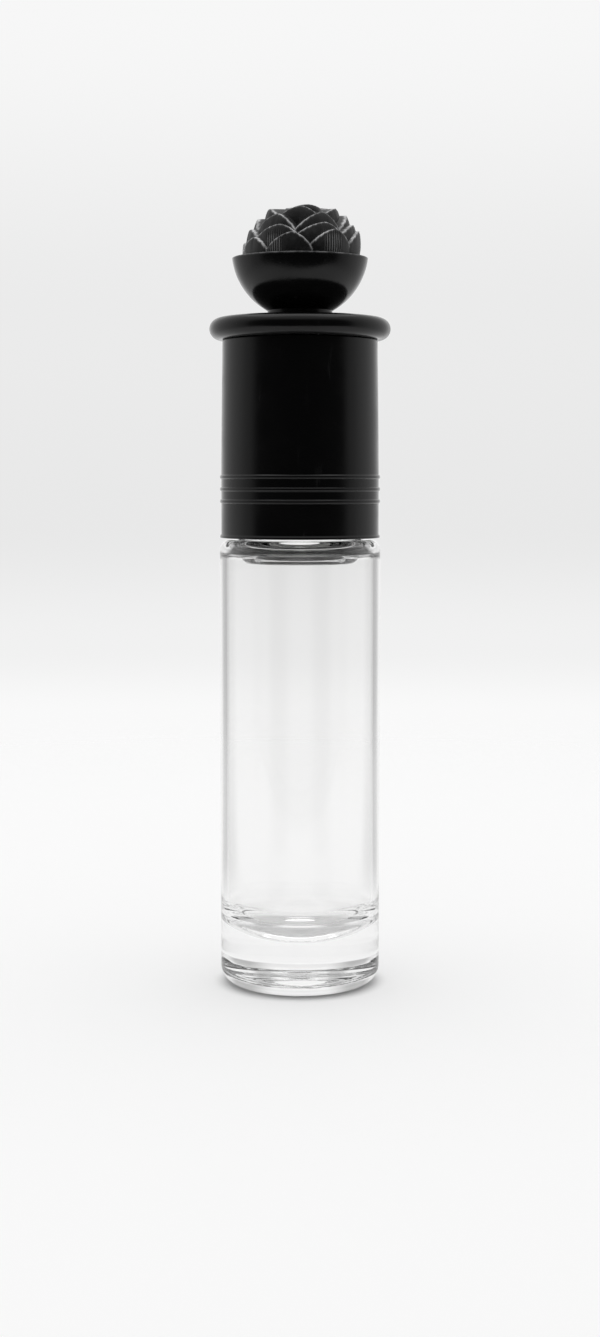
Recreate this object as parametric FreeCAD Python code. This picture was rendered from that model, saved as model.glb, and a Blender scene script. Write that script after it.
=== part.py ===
"""Roll-on perfume bottle: clear glass, a ball in the neck, and a black screw cap with a rose on top.

Millimetres, +Z up, origin at the centre of the base. Every piece is one solid in its own STEP file.
The heights stack up from the base: glass, ball fitment, seals, cap liner, cap shell, top disc, bowl, rose.
"""

import FreeCAD
import Part

import math
import os

from FreeCAD import Vector

# Glass bottle
bottle_diameter = 20.0
bottle_wall = 0.85
base_thickness = 5.7
heel_rounding = 2.2
cavity_floor_diameter = 7.6
cavity_floor_rise = 3.2
cavity_floor_rounding = 13.4
cavity_heel_rounding = 4.0
push_up_diameter = 11.0
push_up_depth = 0.7
shoulder_height = 55.9
shoulder_rounding = 1.4
shoulder_wall = 1.0
cavity_shoulder_rounding = 1.4

# Glass neck, with the bore that takes the fitment
neck_diameter = 14.8
neck_bore_diameter = 11.9
neck_root_rounding = 0.3
lip_rounding = 0.4
throat_rounding = 0.42
throat_ring_width = 0.95
throat_ring_depth = 1.9
throat_ring_flare = 0.6
throat_ring_rounding = 0.68
throat_root_rounding = 0.3

# Ball and the fitment that holds it
ball_diameter = 9.5
ball_clearance = 0.08
ball_centre_above_lip = 1.3
retaining_rim_height = 1.7
retaining_rim_wall = 0.55
retaining_rim_share = 0.9
seat_bore_diameter = 7.6
seat_web = 1.1
plug_clearance = 0.03
plug_depth = 8.6
plug_wall = 0.75
plug_lead_in = 0.4
sealing_rib_height = 0.2
sealing_rib_radius = 0.35
sealing_rib_pitch = 2.2
sealing_rib_count = 3
flange_thickness = 1.0
flange_setback = 0.25
flange_rounding = 0.25
collar_wall = 0.95

# Seals inside the cap
washer_thickness = 1.0
washer_inner_clearance = 0.25
washer_outer_clearance = 0.15
pad_diameter = 8.6
pad_thickness = 1.2
pad_rounding = 0.2
pad_gap = 0.1

# Liner inside the cap
thread_room = 0.8
liner_wall = 0.6
liner_recess = 0.5
liner_web = 1.0
turret_clearance = 0.6
turret_wall = 0.8
turret_top = 1.2
vane_count = 6
vane_thickness = 0.8
vane_overlap = 0.3

# Cap shell
liner_clearance = 0.05
shell_wall = 0.93
shell_gap = 0.25
shell_height = 24.28
shell_crown = 1.83
shell_draft = 0.21
shell_top_rounding = 0.15
shell_inner_rounding = 0.5
band_height = 8.3
edge_lip_height = 0.45
edge_lip_proud = 0.15
bead_count = 3
bead_radius = 0.3
bead_proud = 0.16
bead_start = 4.5
bead_pitch = 1.5

# Disc with the rolled edge
disc_diameter = 22.32
disc_thickness = 2.62

# Bowl that carries the rose
rose_seat_diameter = 15.0
rose_seat_depth = 1.55
bowl_rim_width = 0.85
bowl_rim_above_disc = 7.3
bowl_foot_diameter = 8.0
bowl_foot_height = 0.94
bowl_wall = 1.2
bowl_floor_fill = 0.85
spigot_diameter = 4.8
spigot_clearance = 0.05
stake_head_diameter = 6.8
stake_head_thickness = 0.8
stake_gap = 1.65

# Rose: each tier is (petals, belly radius, belly height, tip height, springing height, turn, lean, drift).
# Radius and drift towards +X are shares of the bloom's radius, heights and lean of its height above the
# bowl's rim, and turn of a petal's pitch. The lean raises petals that face +X and lowers those that face -X.
rose_clearance = 0.05
bloom_height = 6.2
tier_shares = [
    (8, 0.98, 0.12, 0.42, 0.055, 0.70, 0.095, 0.025),
    (7, 0.93, 0.19, 0.58, 0.29, 0.66, 0.045, 0.03),
    (6, 0.82, 0.39, 0.80, 0.34, 0.85, 0.03, 0.03),
    (5, 0.64, 0.62, 0.94, 0.645, 0.61, 0.0, 0.05),
    (3, 0.40, 0.78, 1.00, 0.87, 0.20, 0.0, 0.1),
]
petal_curve_share = 0.67
petal_overlap_share = 1.06
petal_skew_share = 0.2
arch_side_share = 0.52
arch_rise_share = 0.70

# Overrun of cutting shapes past what they cut, and the distance at which two ends count as one
overrun = 1.0
join_tolerance = 1e-6

# Radii and heights that follow from the sizes above
bottle_radius = bottle_diameter / 2
cavity_radius = bottle_radius - bottle_wall
ceiling_height = shoulder_height - shoulder_wall
neck_radius = neck_diameter / 2
bore_radius = neck_bore_diameter / 2
throat_height = ceiling_height - throat_ring_depth
throat_ring_radius = bore_radius + throat_ring_width

shell_bottom = shoulder_height + shell_gap
shell_top = shell_bottom + shell_height
crown_underside = shell_top - shell_crown
turret_ceiling = crown_underside - stake_head_thickness - stake_gap - turret_top

# The neck is as high as the cap has room for, from its crown down through the seals to the ball
ball_radius = ball_diameter / 2
pad_top = turret_ceiling
pad_bottom = pad_top - pad_thickness
ball_height = pad_bottom - pad_gap - ball_radius
lip_height = ball_height - ball_centre_above_lip
socket_radius = ball_radius + ball_clearance
rim_height = ball_height + retaining_rim_height
collar_radius = socket_radius + collar_wall
flange_radius = neck_radius - flange_setback
flange_top = lip_height + flange_thickness

washer_top = flange_top + washer_thickness

liner_bore_radius = neck_radius + thread_room
liner_radius = liner_bore_radius + liner_wall
turret_bore_radius = collar_radius + turret_clearance
turret_radius = turret_bore_radius + turret_wall

shell_bore_radius = liner_radius + liner_clearance
shell_radius = shell_bore_radius + shell_wall

spigot_radius = spigot_diameter / 2
spigot_hole_radius = spigot_radius + spigot_clearance
disc_radius = disc_diameter / 2
disc_top = shell_top + disc_thickness

# The bowl's ball goes through its rim and the top of its foot
rose_seat_radius = rose_seat_diameter / 2
bowl_rim_radius = rose_seat_radius + bowl_rim_width
bowl_foot_radius = bowl_foot_diameter / 2
bowl_rim = disc_top + bowl_rim_above_disc
bowl_foot_top = disc_top + bowl_foot_height
bowl_middle = (bowl_rim + bowl_foot_top) / 2
bowl_flare = (bowl_rim_radius**2 - bowl_foot_radius**2) / (bowl_rim - bowl_foot_top)
bowl_centre = bowl_middle + bowl_flare / 2
bowl_radius = math.hypot(bowl_foot_radius, bowl_centre - bowl_foot_top)
bowl_cavity_radius = bowl_radius - bowl_wall
bowl_floor = bowl_centre - bowl_cavity_radius + bowl_floor_fill
rose_seat = bowl_rim - rose_seat_depth
bloom_radius = rose_seat_radius - rose_clearance


def at(radius, height):
    """Point of a half section, which lies in the XZ plane."""
    return Vector(radius, 0, height)


def line(start, end):
    """Straight edge."""
    return Part.LineSegment(start, end).toShape()


def arc(start, middle, end):
    """Round edge through three points."""
    return Part.Arc(start, middle, end).toShape()


def rounded_outline(corners):
    """Edges of a closed half section from (radius, height, rounding) corners.

    A rounding uses up a length of both sides of its corner. It gives way where a side is too short for it
    and its neighbour, in proportion to the lengths that the two would use.
    """
    count = len(corners)
    points = [at(radius, height) for radius, height, _ in corners]
    backs = [points[i - 1] - points[i] for i in range(count)]
    aheads = [points[(i + 1) % count] - points[i] for i in range(count)]
    half_angles = [back.getAngle(ahead) / 2 for back, ahead in zip(backs, aheads)]
    lengths = [rounding / math.tan(half) for (_, _, rounding), half in zip(corners, half_angles)]
    starts, middles, ends = [], [], []
    for i, corner in enumerate(points):
        if not lengths[i]:
            starts.append(corner)
            middles.append(None)
            ends.append(corner)
            continue
        back, ahead = backs[i], aheads[i]
        room_back = back.Length * lengths[i] / (lengths[i] + lengths[i - 1])
        room_ahead = ahead.Length * lengths[i] / (lengths[i] + lengths[(i + 1) % count])
        length = min(lengths[i], room_back, room_ahead)
        radius = length * math.tan(half_angles[i])
        back.normalize()
        ahead.normalize()
        inward = back + ahead
        inward.normalize()
        starts.append(corner + back * length)
        middles.append(corner + inward * (radius / math.sin(half_angles[i]) - radius))
        ends.append(corner + ahead * length)
    edges = []
    for i in range(count):
        if middles[i] is not None:
            edges.append(arc(starts[i], middles[i], ends[i]))
        following = starts[(i + 1) % count]
        if not ends[i].isEqual(following, join_tolerance):
            edges.append(line(ends[i], following))
    return edges


def turned(edges):
    """Solid made by turning a closed half section about the Z axis."""
    face = Part.Face(Part.Wire(edges))
    return face.revolve(Vector(0, 0, 0), Vector(0, 0, 1), 360)


def ring_bead(outer_radius, bead, height):
    """Round bead about the Z axis that reaches out to outer_radius."""
    return Part.makeTorus(outer_radius - bead, bead, Vector(0, 0, height))


def glass_bottle():
    """Thick-based bottle with a bowl-shaped cavity floor, a flat shoulder and a ring round the throat."""
    body = turned(rounded_outline([
        (0, 0, 0),
        (bottle_radius, 0, heel_rounding),
        (bottle_radius, shoulder_height, shoulder_rounding),
        (neck_radius, shoulder_height, neck_root_rounding),
        (neck_radius, lip_height, lip_rounding),
        (bore_radius, lip_height, lip_rounding),
        (bore_radius, throat_height, throat_rounding),
        (throat_ring_radius, throat_height, throat_ring_rounding),
        (throat_ring_radius + throat_ring_flare, ceiling_height, throat_root_rounding),
        (cavity_radius, ceiling_height, cavity_shoulder_rounding),
        (cavity_radius, base_thickness + cavity_floor_rise, cavity_heel_rounding),
        (cavity_floor_diameter / 2, base_thickness, cavity_floor_rounding),
        (0, base_thickness, 0),
    ]))
    push_up_radius = push_up_diameter / 2
    dome_radius = (push_up_radius**2 + push_up_depth**2) / (2 * push_up_depth)
    dome = Part.makeSphere(dome_radius, Vector(0, 0, push_up_depth - dome_radius))
    return body.cut(dome)


def roller_housing():
    """Plastic fitment: a ribbed plug in the neck, a flange on its lip and a socket round the ball."""
    plug_radius = bore_radius - plug_clearance - sealing_rib_height
    plug_bottom = lip_height - plug_depth
    seat_radius = seat_bore_diameter / 2
    seat_height = ball_height - math.sqrt(socket_radius**2 - seat_radius**2)
    mouth_radius = math.sqrt(socket_radius**2 - retaining_rim_height**2)
    body = turned(rounded_outline([
        (plug_radius - plug_wall, plug_bottom, 0),
        (plug_radius, plug_bottom, plug_lead_in),
        (plug_radius, lip_height, 0),
        (flange_radius, lip_height, 0),
        (flange_radius, flange_top, flange_rounding),
        (collar_radius, flange_top, 0),
        (mouth_radius + retaining_rim_wall, rim_height, flange_rounding),
        (mouth_radius * retaining_rim_share, rim_height, 0),
        (seat_radius, ball_height, 0),
        (seat_radius, seat_height - seat_web, 0),
        (plug_radius - plug_wall, seat_height - seat_web, plug_lead_in),
    ]))
    ribs = []
    for i in range(sealing_rib_count):
        rib_height = plug_bottom + (i + 1) * sealing_rib_pitch
        ribs.append(ring_bead(bore_radius - plug_clearance, sealing_rib_radius, rib_height))
    bore = Part.makeCylinder(plug_radius - plug_wall / 2, plug_depth, at(0, plug_bottom))
    socket = Part.makeSphere(socket_radius, at(0, ball_height))
    return body.fuse([rib.cut(bore) for rib in ribs]).cut(socket).removeSplitter()


def roller_ball():
    """Ball that rolls the oil out."""
    return Part.makeSphere(ball_radius, at(0, ball_height))


def seal_washer():
    """Flat ring between the fitment's flange and the cap liner's web."""
    inner = collar_radius + washer_inner_clearance
    outer = liner_bore_radius - washer_outer_clearance
    return turned(rounded_outline([
        (inner, flange_top, 0),
        (outer, flange_top, 0),
        (outer, washer_top, 0),
        (inner, washer_top, 0),
    ]))


def ball_pad():
    """Soft disc under the liner's top that keeps the ball from weeping."""
    pad_radius = pad_diameter / 2
    return turned(rounded_outline([
        (0, pad_bottom, 0),
        (pad_radius, pad_bottom, pad_rounding),
        (pad_radius, pad_top, 0),
        (0, pad_top, 0),
    ]))


def cap_liner():
    """Inner cap: a skirt round the neck, a web over the washer and a turret over the ball, held by vanes."""
    liner_bottom = shell_bottom + liner_recess
    web_top = washer_top + liner_web
    body = turned(rounded_outline([
        (liner_bore_radius, liner_bottom, 0),
        (liner_radius, liner_bottom, 0),
        (liner_radius, web_top, 0),
        (turret_radius, web_top, 0),
        (turret_radius, pad_top + turret_top, 0),
        (0, pad_top + turret_top, 0),
        (0, pad_top, 0),
        (turret_bore_radius, pad_top, 0),
        (turret_bore_radius, washer_top, 0),
        (liner_bore_radius, washer_top, 0),
    ]))
    root_radius = turret_radius - vane_overlap
    vane_bottom = web_top - vane_overlap
    blank = Part.makeBox(
        liner_radius + overrun - root_radius,
        vane_thickness,
        crown_underside - vane_bottom,
        Vector(root_radius, -vane_thickness / 2, vane_bottom),
    )
    vane = blank.common(turned(rounded_outline([
        (0, vane_bottom, 0),
        (liner_radius, vane_bottom, 0),
        (liner_radius, crown_underside, shell_inner_rounding),
        (0, crown_underside, 0),
    ])))
    vanes = []
    for i in range(vane_count):
        turned_vane = vane.copy()
        turned_vane.rotate(Vector(0, 0, 0), Vector(0, 0, 1), i * 360 / vane_count)
        vanes.append(turned_vane)
    return body.fuse(vanes).removeSplitter()


def cap_shell():
    """Outer shell: a straight band with three beads, a drafted wall above it and a crown."""
    body = turned(rounded_outline([
        (shell_bore_radius, shell_bottom, 0),
        (shell_radius + edge_lip_proud, shell_bottom, 0),
        (shell_radius + edge_lip_proud, shell_bottom + edge_lip_height / 2, 0),
        (shell_radius, shell_bottom + edge_lip_height, 0),
        (shell_radius, shell_bottom + band_height, 0),
        (shell_radius - shell_draft, shell_top, shell_top_rounding),
        (spigot_hole_radius, shell_top, 0),
        (spigot_hole_radius, crown_underside, 0),
        (shell_bore_radius, crown_underside, shell_inner_rounding),
    ]))
    beads = [
        ring_bead(shell_radius + bead_proud, bead_radius, shell_bottom + bead_start + i * bead_pitch)
        for i in range(bead_count)
    ]
    return body.fuse(beads).removeSplitter()


def top_disc():
    """Disc with a full-round edge that overhangs the shell."""
    return turned(rounded_outline([
        (spigot_hole_radius, shell_top, 0),
        (disc_radius, shell_top, disc_thickness / 2),
        (disc_radius, disc_top, disc_thickness / 2),
        (spigot_hole_radius, disc_top, 0),
    ]))


def bowl_ball_radius(ball, height):
    """Radius, at a height, of a ball of that size about the bowl's centre."""
    return math.sqrt(ball**2 - (height - bowl_centre) ** 2)


def finial_bowl():
    """Round bowl on a foot, staked through the disc and the shell's crown, with a seat for the rose."""
    head_radius = stake_head_diameter / 2
    head_bottom = crown_underside - stake_head_thickness
    outer_middle = (bowl_foot_top + bowl_rim) / 2
    inner_middle = (bowl_floor + rose_seat) / 2
    rim_edge = at(bowl_rim_radius, bowl_rim)
    ledge_edge = at(bowl_ball_radius(bowl_cavity_radius, rose_seat), rose_seat)
    floor_edge = at(bowl_ball_radius(bowl_cavity_radius, bowl_floor), bowl_floor)
    foot_edge = at(bowl_foot_radius, bowl_foot_top)
    seat = [rim_edge, at(rose_seat_radius, bowl_rim), at(rose_seat_radius, rose_seat), ledge_edge]
    stem = [
        floor_edge,
        at(0, bowl_floor),
        at(0, head_bottom),
        at(head_radius, head_bottom),
        at(head_radius, crown_underside),
        at(spigot_radius, crown_underside),
        at(spigot_radius, disc_top),
        at(bowl_foot_radius, disc_top),
        foot_edge,
    ]
    hollow = at(bowl_ball_radius(bowl_cavity_radius, inner_middle), inner_middle)
    belly = at(bowl_ball_radius(bowl_radius, outer_middle), outer_middle)
    edges = [line(start, end) for start, end in zip(seat, seat[1:])]
    edges.append(arc(ledge_edge, hollow, floor_edge))
    edges += [line(start, end) for start, end in zip(stem, stem[1:])]
    edges.append(arc(foot_edge, belly, rim_edge))
    return turned(edges)


def petal(belly_radius, belly_height, tip_height, springing_height, half_width):
    """One petal facing +X: a ball's round belly inside a skewed pointed arch that runs out from the axis."""
    curve_radius = belly_radius * petal_curve_share
    belly_centre = Vector(belly_radius - curve_radius, 0, belly_height)
    belly = Part.makeSphere(curve_radius, belly_centre)
    belly.rotate(belly_centre, Vector(0, 0, 1), 180)
    skew = half_width * petal_skew_share
    tip = Vector(0, skew, tip_height)
    arch_shoulder = springing_height + (tip_height - springing_height) * arch_rise_share
    left_foot = Vector(0, -half_width, rose_seat)
    left_spring = Vector(0, -half_width, springing_height)
    left_shoulder = Vector(0, skew - (half_width + skew) * arch_side_share, arch_shoulder)
    right_shoulder = Vector(0, skew + (half_width - skew) * arch_side_share, arch_shoulder)
    right_spring = Vector(0, half_width, springing_height)
    right_foot = Vector(0, half_width, rose_seat)
    outline = Part.Wire([
        line(left_foot, left_spring),
        arc(left_spring, left_shoulder, tip),
        arc(tip, right_shoulder, right_spring),
        line(right_spring, right_foot),
        line(right_foot, left_foot),
    ])
    arch = Part.Face(outline).extrude(Vector(belly_radius + overrun, 0, 0))
    return belly.common(arch)


def rose_bloom():
    """Rose in one piece: tiers of pointed petals that overlap like scales, on a plug in the bowl's seat."""
    bloom = Part.makeCylinder(bloom_radius, rose_seat_depth, at(0, rose_seat))
    for count, radius_share, belly_share, tip_share, spring_share, turn_share, *shift_shares in tier_shares:
        lean_share, drift_share = shift_shares
        belly_radius = bloom_radius * radius_share
        half_width = belly_radius * math.sin(math.pi / count) * petal_overlap_share
        petals = []
        for i in range(count):
            turn = (i + turn_share) * 360 / count
            foot = bowl_rim + bloom_height * lean_share * math.cos(math.radians(turn))
            leaf = petal(
                belly_radius,
                foot + bloom_height * belly_share,
                foot + bloom_height * tip_share,
                foot + bloom_height * spring_share,
                half_width,
            )
            leaf.rotate(Vector(0, 0, 0), Vector(0, 0, 1), turn)
            leaf.translate(Vector(bloom_radius * drift_share, 0, 0))
            petals.append(leaf)
        tier = petals[0].fuse(petals[1:])
        bloom = bloom.fuse(tier).removeSplitter()
    return bloom


def main():
    """Builds every piece and writes it out."""
    pieces = [
        glass_bottle,
        roller_housing,
        roller_ball,
        seal_washer,
        ball_pad,
        cap_liner,
        cap_shell,
        top_disc,
        finial_bowl,
        rose_bloom,
    ]
    os.makedirs("parts", exist_ok=True)
    for piece in pieces:
        shape = piece()
        shape.exportStep(f"parts/{piece.__name__}.step")


if __name__ == "__main__":
    main()
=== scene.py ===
"""Looks of a roll-on perfume bottle with a rose on its cap: pieces, finishes, studio and camera.

Blender works in metres, in the CAD frame: +Z up, the base at the origin, the front towards -Y. Sizes of pieces and
of the floor are in millimetres and become metres where a mesh is filled; those of finishes, lamp and camera's place
are in metres.
"""

import logging
import math
from dataclasses import dataclass
from enum import Enum
from typing import Any, Callable, Sequence

import bpy
import numpy as np
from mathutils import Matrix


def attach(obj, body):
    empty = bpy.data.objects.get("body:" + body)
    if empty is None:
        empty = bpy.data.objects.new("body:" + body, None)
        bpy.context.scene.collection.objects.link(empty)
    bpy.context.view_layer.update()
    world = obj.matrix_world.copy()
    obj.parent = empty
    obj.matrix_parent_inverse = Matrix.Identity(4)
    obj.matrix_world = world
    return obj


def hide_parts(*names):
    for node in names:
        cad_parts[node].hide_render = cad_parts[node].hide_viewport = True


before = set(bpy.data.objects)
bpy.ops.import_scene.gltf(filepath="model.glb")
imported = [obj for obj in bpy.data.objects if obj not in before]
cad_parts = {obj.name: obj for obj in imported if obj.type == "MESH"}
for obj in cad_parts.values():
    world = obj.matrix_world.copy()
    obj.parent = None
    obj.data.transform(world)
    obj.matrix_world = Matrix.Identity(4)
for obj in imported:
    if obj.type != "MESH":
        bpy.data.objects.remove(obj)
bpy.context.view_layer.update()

LOG = logging.getLogger("roll_on_bottle")
MM = 0.001
TAU = 2 * math.pi
ARC_STEP = 0.12
ARC_POINTS = 7
CREASE = 32.0
Span = tuple[float, float]
Triple = tuple[float, float, float]
Colour = Triple
GAP_START: Span = (0.2, 0.5)
GAP_END: Span = (0.66, 0.82)


class Body(Enum):
    """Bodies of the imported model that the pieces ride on."""

    BOTTLE = "bottle"
    BALL = "ball"
    SEALS = "seals"
    CAP = "cap"


class Slot(Enum):
    """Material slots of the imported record."""

    GLASS = "clear_glass"
    NATURAL = "natural_plastic"
    STEEL = "ball_steel"
    SEAL = "soft_seal"
    LINER = "liner_plastic"
    BLACK = "black_plastic"
    ROSE = "rose_plastic"


def arithmetic(operation: str, swapped: bool = False) -> Callable[["Socket", "Socket | float"], "Socket"]:
    """Operator of sockets that adds a Math node, with the other value first where it is swapped."""
    return lambda one, other: one.math(operation, *((other, one) if swapped else (one, other)))


@dataclass
class Socket:
    """Output of a shader node, with arithmetic that adds Math nodes."""

    __add__ = __radd__ = arithmetic("ADD")
    __sub__ = arithmetic("SUBTRACT")
    __rsub__ = arithmetic("SUBTRACT", swapped=True)
    __mul__ = __rmul__ = arithmetic("MULTIPLY")
    __truediv__ = arithmetic("DIVIDE")
    __pow__ = arithmetic("POWER")

    graph: "Graph"
    link: bpy.types.NodeSocket

    def math(self, operation: str, *values: "Socket | float") -> "Socket":
        """Output of a new Math node with these inputs in order."""
        return self.graph.node("Math", {"operation": operation}, dict(enumerate(values)))

    def within(self, low: float, high: float) -> "Socket":
        """Smooth step of this value, from 0 at low to 1 at high."""
        settings = {"interpolation_type": "SMOOTHSTEP"}
        return self.graph.node("MapRange", settings, {0: self, 1: low, 2: high}, "Result")


class Graph:
    """Node tree of one material or of the world."""

    def __init__(self, tree: bpy.types.NodeTree) -> None:
        """Takes a tree and empties it."""
        self.tree = tree
        tree.nodes.clear()

    def node(
        self,
        kind: str,
        settings: dict[str, Any] | None = None,
        inputs: dict[str | int, Any] | None = None,
        output: str | int = 0,
    ) -> Socket | None:
        """Adds one node.

        Args:
            kind: Type name of the node, without ShaderNode.
            settings: Its properties, set first.
            inputs: Values or links of its sockets, by name or number.
            output: Name or number of the output to give back.

        Returns:
            That output, or None where the node has no outputs.
        """
        made = self.tree.nodes.new("ShaderNode" + kind)
        for key, value in (settings or {}).items():
            setattr(made, key, value)
        for key, value in (inputs or {}).items():
            if isinstance(value, Socket):
                self.tree.links.new(value.link, made.inputs[key])
            else:
                made.inputs[key].default_value = value
        return Socket(self, made.outputs[output]) if len(made.outputs) else None

    def ramp(self, place: Socket, stops: Sequence[Span]) -> Socket:
        """Grey that eases from stop to stop.

        Args:
            place: Place along the ramp, from 0 to 1.
            stops: Pairs of a place and a grey, in order.

        Returns:
            The grey at the place.
        """
        grey = self.node("ValToRGB", inputs={0: place})
        ramp = grey.link.node.color_ramp
        ramp.interpolation = "EASE"
        while len(ramp.elements) < len(stops):
            ramp.elements.new(1.0)
        for element, (spot, shade) in zip(ramp.elements, stops):
            element.position = spot
            element.color = (shade, shade, shade, 1)
        return grey

    def rays(self, *kinds: str) -> list[Socket]:
        """Flags of the light path: for each kind of ray, 1 on such rays and 0 on others."""
        return [self.node("LightPath", output=f"Is {kind} Ray") for kind in kinds]

    def wear_and_highlight(self) -> Socket:
        """Mask of wear and painted highlight on the mesh, from 0 to 1."""
        return self.node("Attribute", {"attribute_name": "wear_and_highlight"}, output="Fac")

    def coords(self) -> Socket:
        """Object coordinates, in metres."""
        return self.node("TexCoord", output="Object")

    def axes(self, vector: Socket) -> tuple[Socket, Socket, Socket]:
        """Splits a vector into its x, y and z."""
        first = self.node("SeparateXYZ", inputs={0: vector})
        return tuple(Socket(self, first.link.node.outputs[i]) for i in range(3))

    def noise(self, scale: float, stretch: Triple = (1, 1, 1), detail: float = 3.0) -> Socket:
        """Noise from 0 to 1 on stretched object coordinates, with a scale in features to the metre."""
        place = self.node("Mapping", inputs={"Vector": self.coords(), "Scale": stretch})
        return self.node("TexNoise", inputs={"Vector": place, "Scale": scale, "Detail": detail})

    def mix(self, share: Socket | float, low: Any, high: Any) -> Socket:
        """Mixes two colours or links, from the first at a share of 0 to the second at 1."""
        low, high = (value if isinstance(value, Socket) else (*value, 1) for value in (low, high))
        return self.node("Mix", {"data_type": "RGBA"}, {0: share, 6: low, 7: high}, 2)

    def bump(self, height: Socket, distance: float) -> Socket:
        """Normal bumped by a height, of which 1 stands for a distance in metres."""
        return self.node("Bump", inputs={"Height": height, "Distance": distance})

    def surface(self, inputs: dict[str, Any]) -> None:
        """Ends the graph in a Principled surface with these values and links."""
        shader = self.node("BsdfPrincipled", inputs=inputs)
        self.node("OutputMaterial", inputs={"Surface": shader})


class Finish:
    """Finish of a piece, which becomes one material."""

    name: str

    def shade(self, graph: Graph) -> None:
        """Builds the nodes in the graph of the material."""
        raise NotImplementedError

    def material(self) -> bpy.types.Material:
        """Material of this finish, made on its first use.

        Returns:
            The material.
        """
        found = bpy.data.materials.get(self.name)
        if found is None:
            found = bpy.data.materials.new(self.name)
            found.use_nodes = True
            self.shade(Graph(found.node_tree))
        return found


@dataclass(frozen=True)
class ClearGlass(Finish):
    """Clear pressed glass with slow waves along the wall and ripples in the foot."""

    name: str = "clear_bottle_glass"
    colour: Colour = (0.98, 0.98, 0.979)
    index: float = 1.5
    wave: float = 0.00002
    wave_scale: float = 140.0
    ripple_share: float = 1.6
    ripple_scale: float = 380.0
    foot: Span = (0.001, 0.0028)

    def shade(self, graph: Graph) -> None:
        """Builds the nodes.

        Args:
            graph: Graph of the material.
        """
        _, _, up = graph.axes(graph.coords())
        foot = 1 - up.within(*self.foot)
        ripples = graph.noise(self.ripple_scale, (0.7, 0.7, 2.6)) * foot * self.ripple_share
        waves = graph.noise(self.wave_scale, (1.0, 1.0, 0.22), 1.0) + ripples
        graph.surface({
            "Base Color": (*self.colour, 1),
            "Roughness": 0.0,
            "IOR": self.index,
            "Transmission Weight": 1.0,
            "Normal": graph.bump(waves, self.wave),
        })


@dataclass(frozen=True)
class BlackPlastic(Finish):
    """Glossy black moulded plastic with a fine skin, light scuffs and rubbed edges with a painted highlight."""

    name: str = "glossy_black_plastic"
    colour: Colour = (0.0018, 0.0018, 0.0019)
    scuffed: Colour = (0.009, 0.009, 0.0094)
    rubbed_and_highlit: Colour = (0.16, 0.16, 0.163)
    roughness: float = 0.15
    mirror: float = 0.28
    cloud_scale: float = 260.0
    scuff_scale: float = 1500.0
    rub_and_highlight_scale: float = 900.0
    skin_scale: float = 5200.0
    skin: float = 0.000004

    def shade(self, graph: Graph) -> None:
        """Builds the nodes.

        Args:
            graph: Graph of the material.
        """
        clouds = graph.noise(self.cloud_scale)
        scuffs = graph.noise(self.scuff_scale, (1.0, 1.0, 0.12), 4.0).within(0.62, 0.78)
        # Edges marked in the mesh are painted light grey: rubbed wear and a painted highlight.
        rubbed_and_highlit = graph.wear_and_highlight() * (0.3 + 0.7 * graph.noise(self.rub_and_highlight_scale).within(0.35, 0.6))
        base = graph.mix(scuffs * 0.35, self.colour, self.scuffed)
        graph.surface({
            "Base Color": graph.mix(rubbed_and_highlit, base, self.rubbed_and_highlit),
            "Roughness": self.roughness + 0.1 * clouds.within(0.35, 0.75) + 0.14 * scuffs,
            "Specular IOR Level": self.mirror,
            "Normal": graph.bump(graph.noise(self.skin_scale, detail=2.0), self.skin),
        })


@dataclass(frozen=True)
class RosePlastic(Finish):
    """Black plastic petals, dusty in patches, rubbed grey with a painted highlight along their edges and fluted in
    places near the bowl.

    The flutes' height is sin(n a), with a the angle round the axis, in patches where cos(m a - t) is large; in dusty
    patches their crests are painted lighter, a painted highlight.
    """

    name: str = "rose_black_plastic"
    colour: Colour = (0.004, 0.004, 0.0042)
    dusty: Colour = (0.018, 0.018, 0.0186)
    rubbed_and_highlit: Colour = (0.56, 0.56, 0.565)
    fluted: Colour = (0.12, 0.12, 0.121)
    flutes_round: int = 140
    flute_patches: int = 6
    flute_turn: float = 0.31
    flute_fade: Span = (0.092, 0.0935)
    patch_scale: float = 700.0
    grain_scale: float = 6000.0
    relief: float = 0.00006

    def shade(self, graph: Graph) -> None:
        """Builds the nodes.

        Args:
            graph: Graph of the material.
        """
        patches = graph.noise(self.patch_scale, detail=4.0)
        grain = graph.noise(self.grain_scale, detail=2.0)
        across, deep, up = graph.axes(graph.coords())
        turn = across.math("ARCTAN2", deep, across)
        patch = across.math("COSINE", turn * self.flute_patches - self.flute_turn).within(0.35, 0.75)
        flutes = across.math("SINE", turn * self.flutes_round) * patch * (1 - up.within(*self.flute_fade))
        base = graph.mix(patches.within(0.4, 0.75) * 0.6, self.colour, self.dusty)
        # Flute crests in dusty patches are painted lighter: a painted highlight on the ridges.
        base = graph.mix(flutes.within(0.35, 0.9) * patches.within(0.3, 0.55), base, self.fluted)
        # Petal edges are painted light grey: rubbed wear and a painted highlight.
        edge = graph.wear_and_highlight() * (0.6 + 0.9 * patches.within(0.35, 0.65))
        graph.surface({
            "Base Color": graph.mix(edge.math("MINIMUM", edge, 1.0), base, self.rubbed_and_highlit),
            "Roughness": 0.4 + 0.2 * patches,
            "Normal": graph.bump(0.1 * grain + flutes, self.relief),
        })


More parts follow.
